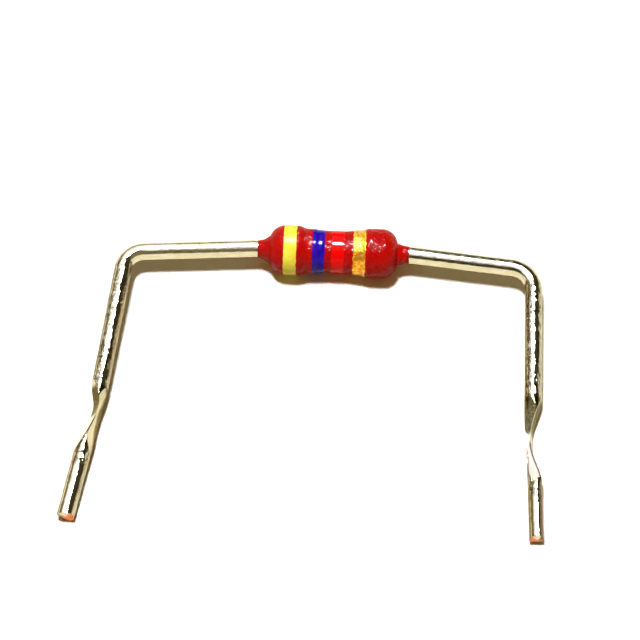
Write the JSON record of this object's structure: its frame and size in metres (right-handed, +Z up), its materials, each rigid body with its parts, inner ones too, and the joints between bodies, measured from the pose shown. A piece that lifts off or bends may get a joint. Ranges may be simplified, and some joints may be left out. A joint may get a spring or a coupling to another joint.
{
  "type": "axial resistor",
  "caption": "Dog-bone film resistor in red lacquer with colour bands; its leads are bent down to a large pitch, kinked to hold it off a board, and nipped to length.",
  "frame": {"origin": "on the surface that the part lies on, below the middle of the box around it", "axes": "+X along the body axis from the yellow band's end to the gold band's end, -Y the way the formed legs reach, +Z up from the surface"},
  "size_m": [0.022, 0.0154, 0.0023],
  "materials": {
    "alumina": "fired, unglazed",
    "film": "thin sputtered metal film",
    "cap_metal": "tin-plated pressed steel",
    "red_lacquer": "glossy flow-coated lacquer with orange peel",
    "yellow_ink": "thick printed ink, semi-gloss",
    "violet_ink": "thick printed ink, semi-gloss",
    "red_ink": "smooth printed ink, glossy",
    "gold_ink": "metallic flake ink",
    "tinned_wire": "bright tinned copper wire, bare copper at the cut tips"
  },
  "bodies": {
    "root": {"ceramic_rod": "alumina", "resistive_film": "film", "end_cap_left": "cap_metal", "end_cap_right": "cap_metal", "lacquer_coat": "red_lacquer", "band_yellow": "yellow_ink", "band_violet": "violet_ink", "band_red": "red_ink", "band_gold": "gold_ink", "lead_left": "tinned_wire", "lead_right": "tinned_wire"}
  },
  "joints": []
}
